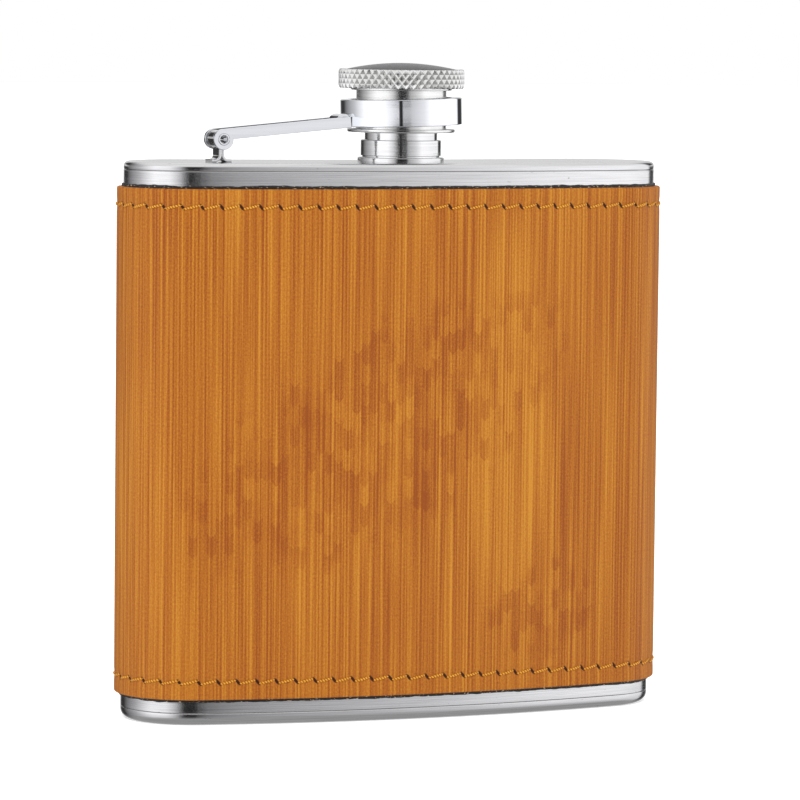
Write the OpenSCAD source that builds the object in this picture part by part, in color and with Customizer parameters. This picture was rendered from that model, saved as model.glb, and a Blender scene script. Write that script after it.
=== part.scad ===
// Six-ounce hip flask: curved steel flask in a stitched wrap, screw cap held captive in a hinged ring.
// Millimetres. The origin is on the rest face, under the neck's axis. +Z is up, -Y is the convex front,
// and the hinge is on the -X side of the neck.

/* [Flask] */
// Width of the steel flask across its round sides
flask_w = 92.5; // [88:0.5:100]
// Thickness of the steel flask, which is also the diameter of its round sides
flask_t = 22.5; // [20:0.5:24]
// Height of the steel flask without the neck
flask_h = 91.1; // [85:0.1:100]
// How far the curve sets the round sides back from the middle
bend_depth = 3.5; // [3:0.5:7]
// Thickness of the steel sheet
sheet_t = 0.5; // [0.4:0.05:0.7]
// Outer radius of the top plate's edge
top_edge_r = 0.8; // [0.7:0.1:1.2]
// Outer radius of the bottom plate's edge
bottom_edge_r = 1.5; // [1:0.1:1.8]
// Depth of the top plate's skirt, down to the weld
top_skirt = 1.3; // [1.3:0.1:3]
// Depth of the bottom plate's skirt, up to the weld
bottom_skirt = 2; // [2:0.1:3]

/* [Wrap] */
// Height of the wrap's lower edge
wrap_z0 = 4.3; // [3:0.1:8]
// Height of the wrap's upper edge
wrap_z1 = 87; // [80:0.1:88]
// Thickness of the wrap's face layer
wrap_t = 0.8; // [0.7:0.05:1]
// Thickness of the dark backing under the wrap
lining_t = 0.25; // [0.2:0.05:0.5]
// How far the backing shows past the wrap's edges
lining_proud = 0.5; // [0.2:0.1:0.8]
// Width of the butt seam at the back
seam_gap = 0.3; // [0.2:0.05:0.5]

/* [Stitching] */
// Distance from one stitch to the next
stitch_pitch = 3.2; // [2.8:0.1:4]
// Length of a stitch
stitch_len = 2.4; // [2:0.1:2.6]
// Diameter of the thread
thread_d = 0.45; // [0.35:0.05:0.6]
// Rise of a stitch along the seam, in degrees
stitch_rise = 13; // [0:1:25]
// Distance from a row of stitches to the wrap's edge
stitch_inset = 2.9; // [2:0.1:4]

/* [Neck] */
// Radius of the neck's bore
neck_bore_r = 4.75; // [4.5:0.05:4.8]
// Radius of the plain neck under the thread
neck_r = 6; // [5.9:0.05:6.1]
// Radius of the collar above the top plate
neck_collar_r = 6.65; // [6.4:0.05:6.8]
// Radius of the foot that is welded to the top plate
neck_foot_r = 7.15; // [7:0.05:7.4]
// Height of the mouth
mouth_z = 100.7; // [100.4:0.1:100.7]

/* [Cap] */
// Radius over the knurl
knurl_r = 10.35; // [9.9:0.05:11]
// Height of the knurled rim
knurl_h = 3.1; // [2.6:0.1:3.2]
// Radius of the sleeve that the ring turns on
sleeve_r = 7.45; // [7.3:0.05:7.6]
// Radius of the retaining collar under the ring
retainer_r = 8.9; // [8.8:0.05:9.1]
// Height of the cap's lower face when it is screwed down
cap_z0 = 95.95; // [95.8:0.05:96]
// Height of the knurl's top edge when it is screwed down
cap_z1 = 106.3; // [106.2:0.1:107]
// Radius of the domed disc in the cap's top
dome_r = 8.9; // [8:0.1:9.2]
// Height of the dome above the knurl
dome_rise = 1; // [0.6:0.1:1.4]

/* [Hinge and arm] */
// Distance from the neck's axis to the hinge pin
hinge_x = 31.75; // [30:0.05:33]
// Height of the hinge pin
hinge_z = 94.8; // [94.6:0.1:95.2]
// Radius of the eye at the end of each strap
eye_r = 1.7; // [1.6:0.05:1.8]
// Outer radius of the tubular pin
pin_r = 0.95; // [0.85:0.05:1]
// Radius of the hole through the pin
pin_hole_r = 0.65; // [0.5:0.05:0.7]
// Distance between the straps' inner faces
strap_gap = 3.6; // [3.4:0.1:4]
// Thickness of a strap
strap_t = 0.8; // [0.6:0.05:0.9]
// Height of a strap
strap_h = 1.8; // [1.6:0.1:2]
// Slope of the straps, rising from the hinge to the ring, in degrees
strap_slope = 5.3; // [4.5:0.1:6]
// Inner radius of the swivel ring
ring_inner_r = 8.55; // [8.4:0.05:8.6]
// Outer radius of the swivel ring
ring_r = 10.05; // [9.9:0.05:10.2]
// Height of the swivel ring
ring_h = 4.4; // [4:0.1:4.5]
// Height of the swivel ring's centre when the cap is screwed down
ring_z = 99.3; // [99.2:0.1:99.5]
// Tilt of the loose ring on the cap, in degrees
ring_tilt = 1.6; // [0:0.1:1.8]

/* [Hidden] */
$fn = 96;
cut = 1; // how far a cutter runs past a face

half_t = flask_t / 2;
side_x = flask_w / 2 - half_t;
side_centre = [side_x, bend_depth];
bend_r = (side_x * side_x + bend_depth * bend_depth) / (2 * bend_depth); // at mid thickness
half_bend = asin(side_x / bend_r);

lining_off = half_t + lining_t;
wrap_off = lining_off + wrap_t;

neck_foot_h = 0.75;
neck_groove_r = 6.4;
neck_groove_h = 0.25;
neck_collar_z1 = 94.7;
neck_spigot_h = 1; // stretch of the neck below the top plate
thread_z0 = 96.5;
thread_pitch = 1.2;
thread_turns = 3;
thread_depth = 0.5;
neck_thread_r = 5.75;
cap_thread_r = 6.55; // clears the neck's thread while the arm swings
cap_thread_depth = 0.2;

seal_t = 0.9;
seal_gap = 0.1; // between the seal and the mouth
seal_z0 = mouth_z + seal_gap;
knurl_z0 = cap_z1 - knurl_h - 0.05;
knurl_chamfer = 0.35;
boss_r = 8.35; // shoulder under the knurled rim
boss_h = 0.3;
recess_h = 1;
dome_sphere_r = (dome_r * dome_r + dome_rise * dome_rise) / (2 * dome_rise);
retainer_h = 0.55;
retainer_chamfer = 0.25;

knuckle_w = 3.2;
knuckle_t = 0.5;
pin_clearance = 0.05;
pin_proud = 0.08;
foot_w = 3.4;
foot_t = 0.45;
stem_w = 0.94;
foot_fillet_r = 0.7;
bridge_r = 1.5;
bridge_t = 0.6;
bridge_x = -10.7;
bridge_z = ring_z - 1.8;
bridge_cut_z = 0.3;
bridge_bite = 0.2; // how far the bridge runs into each strap

steel = "silver";
chrome = "gainsboro";
thread_gold = "orange";

// ---------- the flask's plan: a stadium bent to bend_r ----------

// The sector in which the front and back are curved. Its edges run through the round sides' axes.
module bend_sector() {
    far = [2 * side_x, bend_r - 2 * (bend_r - bend_depth)];
    translate([0, 0, -flask_h]) linear_extrude(height = 3 * flask_h)
        polygon([[0, bend_r], [-far.x, far.y], far]);
}

// Sweeps a profile round the plan. Its x is the distance outwards from mid thickness, its y is height.
module sweep_plan() {
    intersection() {
        translate([0, bend_r, 0]) rotate_extrude($fn = 360) translate([bend_r, 0]) {
            children();
            mirror([1, 0]) children();
        }
        bend_sector();
    }
    for (side = [-1, 1])
        difference() {
            translate([side * side_centre.x, side_centre.y, 0]) rotate_extrude() children();
            bend_sector();
        }
}

// A band between two distances outwards from mid thickness, from height z0 to z1
module band(off0, off1, z0, z1) {
    sweep_plan() translate([off0, z0]) square([off1 - off0, z1 - z0]);
}

// A block w wide and h high from the corner at the origin, with its far top corner rounded
module rounded_block(w, h, r) {
    square([w - r, h]);
    square([w, h - r]);
    intersection() {
        translate([w - r, h - r]) circle(r);
        square([w, h]);
    }
}

// Half the section of a pressed plate: a flat top at height h, a round edge and a skirt down to 0
module plate_section(h, r) {
    difference() {
        rounded_block(half_t, h, r);
        translate([-cut, -cut]) rounded_block(half_t - sheet_t + cut, h - sheet_t + cut, r - sheet_t);
    }
}

// ---------- a loop round the wrap, for the stitching ----------

function arc_len(r, a) = r * a * PI / 180;
function arc_angle(r, s) = s / r * 180 / PI;
function front_len(off) = arc_len(bend_r + off, 2 * half_bend);
function back_len(off) = arc_len(bend_r - off, 2 * half_bend);
function side_len(off) = arc_len(off, 180);
function loop_len(off) = front_len(off) + back_len(off) + 2 * side_len(off);
function on_front(off, a) =
    [(bend_r + off) * sin(a), bend_r - (bend_r + off) * cos(a), a];
function on_back(off, a) =
    [(bend_r - off) * sin(a), bend_r - (bend_r - off) * cos(a), a + 180];
function on_side(off, side, a) =
    [side * side_centre.x + off * sin(a), side_centre.y - off * cos(a), a];

// Place and direction at distance s along the loop, from the front's -X end towards +X and round
function loop_point(off, s) =
    let (s1 = front_len(off), s2 = s1 + side_len(off), s3 = s2 + back_len(off))
    s < s1 ? on_front(off, arc_angle(bend_r + off, s) - half_bend)
    : s < s2 ? on_side(off, 1, half_bend + arc_angle(off, s - s1))
    : s < s3 ? on_back(off, half_bend - arc_angle(bend_r - off, s - s2))
    : on_side(off, -1, 180 - half_bend + arc_angle(off, s - s3));

// One stitch, centred on the origin and lying along +X with its rise
module stitch(rise) {
    rotate([0, 90 - rise, 0]) cylinder(h = stitch_len, d = thread_d, center = true, $fn = 16);
}

// A row of stitches round the wrap at height z
module stitch_row(z) {
    count = floor(loop_len(wrap_off) / stitch_pitch);
    for (i = [0:count - 1]) {
        p = loop_point(wrap_off, (i + 0.5) * loop_len(wrap_off) / count);
        translate([p[0], p[1], z]) rotate([0, 0, p[2]]) stitch(stitch_rise);
    }
}

// ---------- steel flask ----------

module body_shell() {
    color(steel) band(half_t - sheet_t, half_t, bottom_skirt, flask_h - top_skirt);
}

module top_plate() {
    color(steel) difference() {
        translate([0, 0, flask_h - top_skirt]) sweep_plan() plate_section(top_skirt, top_edge_r);
        translate([0, 0, flask_h - 2]) cylinder(h = 4, r = neck_r);
    }
}

module bottom_plate() {
    color(steel) translate([0, 0, bottom_skirt]) mirror([0, 0, 1])
        sweep_plan() plate_section(bottom_skirt, bottom_edge_r);
}

// The neck's outside, from the spigot under the top plate to the mouth
module neck_outline() {
    foot_z1 = flask_h + neck_foot_h;
    groove_z1 = foot_z1 + neck_groove_h;
    union() {
        translate([0, flask_h - neck_spigot_h]) square([neck_r, thread_z0 - flask_h + neck_spigot_h]);
        translate([0, flask_h]) square([neck_foot_r, neck_foot_h]);
        translate([0, foot_z1]) square([neck_groove_r, neck_groove_h]);
        translate([0, groove_z1]) square([neck_collar_r, neck_collar_z1 - groove_z1]);
        translate([0, thread_z0]) square([neck_thread_r - thread_depth, mouth_z - thread_z0]);
    }
}

// One ridge of a thread: a trapezium of the given depth, standing out from radius r at height z
module thread_ridge(r, z, depth) {
    translate([r, z]) polygon([
        [-0.1, 0], [0, 0], [depth, thread_pitch * 0.3],
        [depth, thread_pitch * 0.5], [0, thread_pitch * 0.8], [-0.1, thread_pitch * 0.8],
    ]);
}

module neck() {
    color(chrome) difference() {
        rotate_extrude() {
            neck_outline();
            for (i = [0:thread_turns - 1])
                thread_ridge(neck_thread_r - thread_depth, thread_z0 + i * thread_pitch, thread_depth);
        }
        translate([0, 0, flask_h - neck_spigot_h - cut])
            cylinder(h = mouth_z - flask_h + neck_spigot_h + 2 * cut, r = neck_bore_r);
    }
}

// ---------- wrap ----------

module leather_wrap() {
    color("peru") difference() {
        band(lining_off, wrap_off, wrap_z0, wrap_z1);
        translate([-seam_gap / 2, 0, wrap_z0 - cut]) cube([seam_gap, flask_t, wrap_z1 - wrap_z0 + 2 * cut]);
    }
}

module wrap_lining() {
    color("black") band(half_t, lining_off, wrap_z0 - lining_proud, wrap_z1 + lining_proud);
}

module top_stitching() {
    color(thread_gold) stitch_row(wrap_z1 - stitch_inset);
}

module bottom_stitching() {
    color(thread_gold) stitch_row(wrap_z0 + stitch_inset);
}

// Two upright rows, one on each side of the butt seam, between the top and bottom rows
module seam_stitching() {
    seam_h = wrap_z1 - wrap_z0 - 2 * stitch_inset - 2 * stitch_pitch;
    count = floor(seam_h / stitch_pitch);
    seam_a = arc_angle(bend_r - wrap_off, 1.8);
    color(thread_gold)
        for (a = [-seam_a, seam_a], i = [0:count]) {
            p = on_back(wrap_off, a);
            translate([p[0], p[1], wrap_z0 + stitch_inset + stitch_pitch + i * seam_h / count])
                cylinder(h = stitch_len, d = thread_d, center = true, $fn = 16);
        }
}

// ---------- hinge ----------

// Lays a drawing in the XZ plane, centred on the hinge pin, and gives it a width along Y
module across_hinge(w) {
    translate([-hinge_x, w / 2, hinge_z]) rotate([90, 0, 0]) linear_extrude(height = w) children();
}

module hinge_bracket() {
    drop = hinge_z - flask_h;
    bore_r = pin_r + pin_clearance;
    color(steel) across_hinge(knuckle_w) {
        difference() {
            union() {
                circle(bore_r + knuckle_t);
                translate([-stem_w / 2, -drop]) square([stem_w, drop]);
            }
            circle(bore_r);
        }
        translate([-foot_w / 2, -drop]) square([foot_w, foot_t]);
        for (side = [0, 1])
            mirror([side, 0]) translate([stem_w / 2, foot_t - drop]) difference() {
                square(foot_fillet_r);
                translate([foot_fillet_r, foot_fillet_r]) circle(foot_fillet_r);
            }
    }
}

module hinge_pin() {
    pin_w = strap_gap + 2 * strap_t + 2 * pin_proud;
    color(chrome) across_hinge(pin_w) difference() {
        circle(pin_r);
        circle(pin_hole_r);
    }
}

// ---------- arm and ring ----------

// Moves a drawing on the ring's own axis to the ring's place on the cap
module on_ring() {
    translate([0, 0, ring_z]) rotate([0, -ring_tilt, 0]) children();
}

module strap_outline() {
    circle(eye_r);
    rotate(strap_slope) translate([0, eye_r - strap_h]) square([hinge_x - ring_inner_r, strap_h]);
}

module bridge_outline() {
    translate([hinge_x + bridge_x, bridge_z - hinge_z]) difference() {
        circle(bridge_r);
        circle(bridge_r - bridge_t);
        translate([-2 * bridge_r, -2 * bridge_r]) square([4 * bridge_r, 2 * bridge_r + bridge_cut_z]);
    }
}

module hinge_arm() {
    color(chrome) difference() {
        union() {
            for (side = [-1, 1])
                translate([0, side * (strap_gap + strap_t) / 2, 0]) across_hinge(strap_t) strap_outline();
            across_hinge(strap_gap + 2 * bridge_bite) bridge_outline();
        }
        on_ring() cylinder(h = 3 * ring_h, r = ring_r, center = true);
        across_hinge(2 * strap_gap) circle(pin_r);
    }
}

module swivel_ring() {
    color(chrome) on_ring() difference() {
        cylinder(h = ring_h, r = ring_r, center = true);
        cylinder(h = ring_h + cut, r = ring_inner_r, center = true);
    }
}

// ---------- cap ----------

module cap_head_outline() {
    translate([0, cap_z0]) square([sleeve_r, knurl_z0 - cap_z0]);
    translate([0, knurl_z0 - boss_h]) square([boss_r, boss_h]);
    polygon([
        [0, knurl_z0],
        [knurl_r - knurl_chamfer, knurl_z0],
        [knurl_r, knurl_z0 + knurl_chamfer],
        [knurl_r, cap_z1 - knurl_chamfer],
        [knurl_r - knurl_chamfer, cap_z1],
        [0, cap_z1],
    ]);
}

module cap_head() {
    bore_h = seal_z0 + seal_t - cap_z0;
    color(steel) difference() {
        rotate_extrude() cap_head_outline();
        translate([0, 0, cap_z0 - cut]) cylinder(h = bore_h + cut, r = cap_thread_r);
        rotate_extrude()
            for (i = [0:thread_turns - 1])
                thread_ridge(cap_thread_r, thread_z0 + i * thread_pitch, cap_thread_depth);
        translate([0, 0, cap_z1 - recess_h]) cylinder(h = recess_h + cut, r = dome_r);
    }
}

module cap_retainer() {
    color(steel) rotate_extrude() translate([0, cap_z0]) polygon([
        [sleeve_r, 0],
        [retainer_r - retainer_chamfer, 0],
        [retainer_r, retainer_chamfer],
        [retainer_r, retainer_h],
        [sleeve_r, retainer_h],
    ]);
}

module cap_dome() {
    base_z = cap_z1 - recess_h;
    color("black") rotate_extrude() intersection() {
        translate([0, cap_z1 + dome_rise - dome_sphere_r]) circle(dome_sphere_r, $fn = 720);
        translate([0, base_z]) square([dome_r, recess_h + dome_rise + cut]);
    }
}

module cap_seal() {
    color("gray") translate([0, 0, seal_z0]) cylinder(h = seal_t, r = cap_thread_r);
}

body_shell();
top_plate();
bottom_plate();
neck();
hinge_bracket();
leather_wrap();
wrap_lining();
top_stitching();
bottom_stitching();
seam_stitching();
hinge_arm();
hinge_pin();
swivel_ring();
cap_head();
cap_retainer();
cap_dome();
cap_seal();
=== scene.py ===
"""Six-ounce hip flask: satin steel, a stitched wrap, and a screw cap held captive in a hinged ring.

Everything is in metres. +Z is up, the convex front faces -Y and the hinge is on the -X side of the neck.
"""

import math

import bmesh
import bpy
from mathutils import Matrix, Vector, noise


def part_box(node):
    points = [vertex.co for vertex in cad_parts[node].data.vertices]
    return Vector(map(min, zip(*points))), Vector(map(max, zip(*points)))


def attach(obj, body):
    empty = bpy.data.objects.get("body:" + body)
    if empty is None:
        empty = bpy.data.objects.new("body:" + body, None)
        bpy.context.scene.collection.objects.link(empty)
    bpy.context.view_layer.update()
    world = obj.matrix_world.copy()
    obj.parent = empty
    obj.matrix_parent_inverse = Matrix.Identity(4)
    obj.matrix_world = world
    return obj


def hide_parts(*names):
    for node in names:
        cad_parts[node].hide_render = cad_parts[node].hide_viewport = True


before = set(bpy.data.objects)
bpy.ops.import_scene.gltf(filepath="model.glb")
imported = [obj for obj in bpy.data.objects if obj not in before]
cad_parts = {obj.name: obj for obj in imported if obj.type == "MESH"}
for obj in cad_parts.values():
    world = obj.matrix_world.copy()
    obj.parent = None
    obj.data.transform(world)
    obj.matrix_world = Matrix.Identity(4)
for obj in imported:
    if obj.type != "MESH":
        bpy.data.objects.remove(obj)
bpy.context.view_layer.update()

# ---------- sizes that come from the frame ----------

MM = 0.001

shell_low, shell_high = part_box("body_shell")
bottom_low, bottom_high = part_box("bottom_plate")
top_low, top_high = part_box("top_plate")
wrap_low, wrap_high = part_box("leather_wrap")
lining_low, lining_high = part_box("wrap_lining")
neck_low, neck_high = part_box("neck")
bracket_low, bracket_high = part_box("hinge_bracket")
pin_low, pin_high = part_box("hinge_pin")
arm_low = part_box("hinge_arm")[0]
ring_low, ring_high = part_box("swivel_ring")
head_low, head_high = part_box("cap_head")
retainer_low, retainer_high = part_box("cap_retainer")
dome_low, dome_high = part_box("cap_dome")
seal_low, seal_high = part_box("cap_seal")
row_low, row_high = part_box("top_stitching")
foot_row_low, foot_row_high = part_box("bottom_stitching")
seam_low, seam_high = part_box("seam_stitching")

# The flask's plan is a stadium bent round an upright axis behind it
half_t = -bottom_low.y
bend_depth = shell_high.y - half_t
side_x = bottom_high.x - half_t
bend_r = (side_x**2 + bend_depth**2) / (2 * bend_depth)
half_bend = math.asin(side_x / bend_r)
bend_centre = Vector((0, bend_r, 0))
left_centre = Vector((-side_x, bend_depth, 0))
right_centre = Vector((side_x, bend_depth, 0))

# Distances outwards from the middle of the flask's thickness
lining_off = -lining_low.y
wrap_off = -wrap_low.y

hinge = Vector((arm_low.x + 1.7 * MM, 0, arm_low.z + 1.7 * MM))
ring_centre = (ring_low + ring_high) / 2

upper_row_z = (row_low.z + row_high.z) / 2
lower_row_z = (foot_row_low.z + foot_row_high.z) / 2

# ---------- sizes of the details ----------

sheet_t = 0.5 * MM
top_edge_r = 0.8 * MM
base_edge_r = 1.5 * MM
neck_hole_r = 6.0 * MM
weld_edge = 0.14 * MM  # rounding that leaves a fine line at a weld
seam_half = 0.15 * MM
leather_edge = 0.3 * MM

stitch_count = 68
stitch_rise = math.radians(13)
thread_r = 0.2 * MM
stitch_chord = 3.1 * MM
stitch_drop = 0.5 * MM
seam_row_off = 1.8 * MM

thread_pitch = 1.2 * MM
thread_turns = 3

knurl_count = 52
knurl_depth = 0.42 * MM
knurl_chamfer = 0.2 * MM
knurl_steps = 4  # mesh columns to a diamond

ring_inner_r = 8.55 * MM
ring_h = 4.4 * MM
ring_tilt = math.radians(1.6)
strap_gap = 3.6 * MM
strap_t = 0.8 * MM
strap_h = 1.8 * MM
strap_slope = math.radians(5.3)
eye_r = 1.7 * MM

FULL = math.tau
HALF = math.pi
UP = Vector((0, 0, 1))


# ---------- drawing and shaping ----------


def round_corner(mesh, vert, radius, segments=5):
    """Rounds a corner of an outline."""
    before, after = (edge.other_vert(vert).co - vert.co for edge in vert.link_edges)
    reach = radius / math.tan(before.angle(after) / 2)
    bmesh.ops.bevel(
        mesh, geom=[vert], offset=reach, segments=segments, profile=0.5, affect="VERTICES", material=-1
    )


def outline(mesh, corners, closed=True):
    """Draws an outline in the XZ plane. A corner is (x, z) or (x, z, radius of its rounding)."""
    verts = [mesh.verts.new((corner[0], 0, corner[1])) for corner in corners]
    following = verts[1:] + verts[:1] if closed else verts[1:]
    for start, end in zip(verts, following):
        mesh.edges.new((start, end))
    for vert, corner in zip(verts, corners):
        if len(corner) > 2:
            round_corner(mesh, vert, corner[2])


def tube_section(inner, outer, low, high, edge):
    """The corners of a plain tube's section, all rounded alike."""
    return [(inner, low, edge), (outer, low, edge), (outer, high, edge), (inner, high, edge)]


def band_section(inner, outer, low, high, edge):
    """The corners of a thin band's section, rounded on its outside only."""
    return [(inner, low), (outer, low, edge), (outer, high, edge), (inner, high)]


def everything(mesh):
    return mesh.verts[:] + mesh.edges[:] + mesh.faces[:]


def only_verts(items):
    return [item for item in items if isinstance(item, bmesh.types.BMVert)]


def weld(mesh):
    bmesh.ops.remove_doubles(mesh, verts=mesh.verts, dist=0.002 * MM)


def lathe(mesh, steps=96):
    """Turns what is drawn in the XZ plane once round the Z axis."""
    drawn = everything(mesh)
    bmesh.ops.spin(mesh, geom=drawn, cent=(0, 0, 0), axis=UP, angle=FULL, steps=steps, use_merge=True)
    weld(mesh)


def lap_legs(gap=0, density=1):
    """The legs of one lap round the plan from the back's middle, anticlockwise from above."""
    gap_angle = gap / (bend_r - wrap_off)
    back = -(half_bend - gap_angle)
    return [
        (bend_centre, back, round(22 * density)),
        (left_centre, HALF, round(36 * density)),
        (bend_centre, 2 * half_bend, round(50 * density)),
        (right_centre, HALF, round(36 * density)),
        (bend_centre, back, round(22 * density)),
    ]


def sweep_lap(mesh, gap=0, density=1):
    """Carries a section round the plan. Its x is the distance outwards from mid thickness."""
    gap_angle = gap / (bend_r - wrap_off)
    place = (
        Matrix.Translation(bend_centre)
        @ Matrix.Rotation(HALF / 2 - gap_angle, 4, "Z")
        @ Matrix.Translation((-bend_r, 0, 0))
    )
    bmesh.ops.transform(mesh, matrix=place, verts=mesh.verts)
    ends = everything(mesh)
    for centre, angle, steps in lap_legs(gap, density):
        spun = bmesh.ops.spin(mesh, geom=ends, cent=centre, axis=UP, angle=angle, steps=steps)
        ends = spun["geom_last"]
    weld(mesh)


def boundary(mesh):
    return [edge for edge in mesh.edges if len(edge.link_faces) == 1]


def close_ends(mesh):
    """Closes each open loop of a mesh with a face."""
    bmesh.ops.holes_fill(mesh, edges=boundary(mesh), sides=0)


def break_edges(mesh, radius, segments=2, sharper_than=40):
    """Rounds every edge where two faces meet at more than an angle in degrees."""
    limit = math.radians(sharper_than)
    sharp = [edge for edge in mesh.edges if edge.is_manifold and edge.calc_face_angle() > limit]
    size = {"offset": radius, "segments": segments, "profile": 0.5}
    bmesh.ops.bevel(mesh, geom=sharp, affect="EDGES", material=-1, clamp_overlap=True, **size)


def mesh_data(name, mesh):
    """Turns a bmesh into mesh data, and frees it."""
    data = bpy.data.meshes.new(name)
    mesh.to_mesh(data)
    mesh.free()
    return data


def new_object(name, data):
    """An object of the scene with this data."""
    thing = bpy.data.objects.new(name, data)
    bpy.context.scene.collection.objects.link(thing)
    return thing


def finish_piece(name, mesh, material, body, slot, *nodes, smooth_to=38, level_faces=True):
    """Makes a shaped mesh into a piece of the flask that stands for CAD nodes and rides on their body.

    With level_faces, wide faces stay flat to the light beside the narrow ones of a rounded edge.
    """
    bmesh.ops.recalc_face_normals(mesh, faces=mesh.faces)
    data = mesh_data(name, mesh)
    data.materials.append(material)
    data.shade_smooth()
    data.set_sharp_from_angle(angle=math.radians(smooth_to))
    piece = new_object(name, data)
    if level_faces:
        weights = piece.modifiers.new("level_faces", "WEIGHTED_NORMAL")
        weights.keep_sharp = True
    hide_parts(*nodes)
    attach(piece, body)
    return piece


# ---------- places on the wrap ----------

front_len = (bend_r + wrap_off) * 2 * half_bend
back_len = (bend_r - wrap_off) * 2 * half_bend
side_len = wrap_off * HALF
lap_len = front_len + back_len + 2 * side_len
stitch_pitch = lap_len / stitch_count
seam_at = front_len + side_len + back_len / 2


def outwards_at(turn):
    """The level direction outwards from an arc about Z; -Y at no turn."""
    return Vector((math.sin(turn), -math.cos(turn), 0))


def wrap_place(distance):
    """The place on the wrap's face at a distance from the front's -X end, and its turn about Z there."""
    distance %= lap_len
    if distance < front_len:
        turn = distance / (bend_r + wrap_off) - half_bend
        return bend_centre + (bend_r + wrap_off) * outwards_at(turn), turn
    distance -= front_len
    if distance < side_len:
        turn = half_bend + distance / wrap_off
        return right_centre + wrap_off * outwards_at(turn), turn
    distance -= side_len
    if distance < back_len:
        turn = half_bend - distance / (bend_r - wrap_off)
        return bend_centre + (bend_r - wrap_off) * outwards_at(turn), turn + HALF
    distance -= back_len
    turn = HALF - half_bend + distance / wrap_off
    return left_centre + wrap_off * outwards_at(turn), turn


def wrap_distance(point):
    """The distance round the wrap from the front's -X end, the direction outwards, and how far out it is.

    The first jumps at the back seam, where the wrap is open, and is negative on the -X side of it.
    """
    flat = Vector((point.x, point.y, 0))
    from_bend = flat - bend_centre
    turn = math.atan2(from_bend.x, -from_bend.y)
    if abs(turn) <= half_bend:
        off = from_bend.length - bend_r
        outwards = from_bend.normalized()
        if off > 0:
            return (turn + half_bend) * (bend_r + wrap_off), outwards, off
        distance = front_len + side_len + (half_bend - turn) * (bend_r - wrap_off)
        return distance - (lap_len if turn < 0 else 0), -outwards, -off
    from_side = flat - (right_centre if point.x > 0 else left_centre)
    turn = math.atan2(from_side.x, -from_side.y) % FULL
    if point.x > 0:
        distance = front_len + (turn - half_bend) * wrap_off
    else:
        distance = (turn - FULL + half_bend) * wrap_off
    return distance, from_side.normalized(), from_side.length


# ---------- nodes ----------


def plug_in(tree, node, inputs):
    """Gives a node's inputs their values, or links them from the sockets given."""
    for key, value in inputs.items():
        if isinstance(value, bpy.types.NodeSocket):
            tree.links.new(value, node.inputs[key])
        else:
            node.inputs[key].default_value = value


def add(tree, kind, inputs=None, **settings):
    """Adds a shader node with its settings and inputs."""
    node = tree.nodes.new("ShaderNode" + kind)
    for name, value in settings.items():
        setattr(node, name, value)
    plug_in(tree, node, inputs or {})
    return node


def calc(tree, operation, *values):
    """A Math node's result."""
    return add(tree, "Math", dict(enumerate(values)), operation=operation).outputs[0]


def mix_colour(tree, factor, first, second, blend_type="MIX"):
    """A colour between two others."""
    inputs = {0: factor, 6: first, 7: second}
    return add(tree, "Mix", inputs, data_type="RGBA", blend_type=blend_type).outputs[2]


def spread(tree, value, low, high, to_low=0.0, to_high=1.0, smooth=False):
    """Maps a value's range onto another, held at its ends."""
    inputs = {"Value": value, "From Min": low, "From Max": high, "To Min": to_low, "To Max": to_high}
    kind = "SMOOTHSTEP" if smooth else "LINEAR"
    return add(tree, "MapRange", inputs, interpolation_type=kind).outputs[0]


def stretched_noise(tree, vector, periods, detail=2.0, roughness=0.5, seed=0.0):
    """Noise whose features have these lengths along X, Y and Z."""
    scale = tuple(1 / period for period in periods)
    mapping = add(tree, "Mapping", {"Vector": vector, "Location": (seed, seed, seed), "Scale": scale})
    inputs = {"Vector": mapping.outputs[0], "Scale": 1.0, "Detail": detail, "Roughness": roughness}
    return add(tree, "TexNoise", inputs).outputs["Fac"]


def new_group(name, inputs, outputs):
    """A node group with named sockets: its tree, its input sockets and its output node."""
    tree = bpy.data.node_groups.new(name, "ShaderNodeTree")
    for label, kind in inputs.items():
        tree.interface.new_socket(label, in_out="INPUT", socket_type="NodeSocket" + kind)
    for label, kind in outputs.items():
        tree.interface.new_socket(label, in_out="OUTPUT", socket_type="NodeSocket" + kind)
    entry = tree.nodes.new("NodeGroupInput")
    leave = tree.nodes.new("NodeGroupOutput")
    return tree, entry.outputs, leave


def use_group(tree, group, inputs):
    """Places a node group in a material with its own values, and returns its outputs."""
    return add(tree, "Group", inputs, node_tree=group).outputs


def new_material(name):
    """A material, with its tree, its Principled BSDF and its Object coordinates."""
    material = bpy.data.materials.new(name)
    material.use_nodes = True
    tree = material.node_tree
    shader = tree.nodes["Principled BSDF"]
    coords = add(tree, "TexCoord").outputs
    return material, tree, shader, coords


# ---------- effects that several materials share ----------


def make_brushing():
    """Fine level lines in satin or turned metal: a value for the finish and a normal."""
    tree, given, leave = new_group(
        "level_brushing",
        {"Vector": "Vector", "Line Height": "Float", "Depth": "Float"},
        {"Lines": "Float", "Normal": "Vector"},
    )
    scale_z = calc(tree, "DIVIDE", 1.0, given["Line Height"])
    parts = add(tree, "SeparateXYZ", {0: given["Vector"]}).outputs
    level = calc(tree, "MULTIPLY", parts[2], scale_z)
    across = calc(tree, "MULTIPLY", parts[0], 1 / (14 * MM))
    along = calc(tree, "MULTIPLY", parts[1], 1 / (14 * MM))
    placed = add(tree, "CombineXYZ", {0: across, 1: along, 2: level}).outputs[0]
    inputs = {"Vector": placed, "Scale": 1.0, "Detail": 3.0, "Roughness": 0.65}
    lines = add(tree, "TexNoise", inputs).outputs["Fac"]
    bump = add(tree, "Bump", {"Height": lines, "Strength": given["Depth"], "Distance": 0.05 * MM})
    tree.links.new(lines, leave.inputs["Lines"])
    tree.links.new(bump.outputs[0], leave.inputs["Normal"])
    return tree


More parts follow.
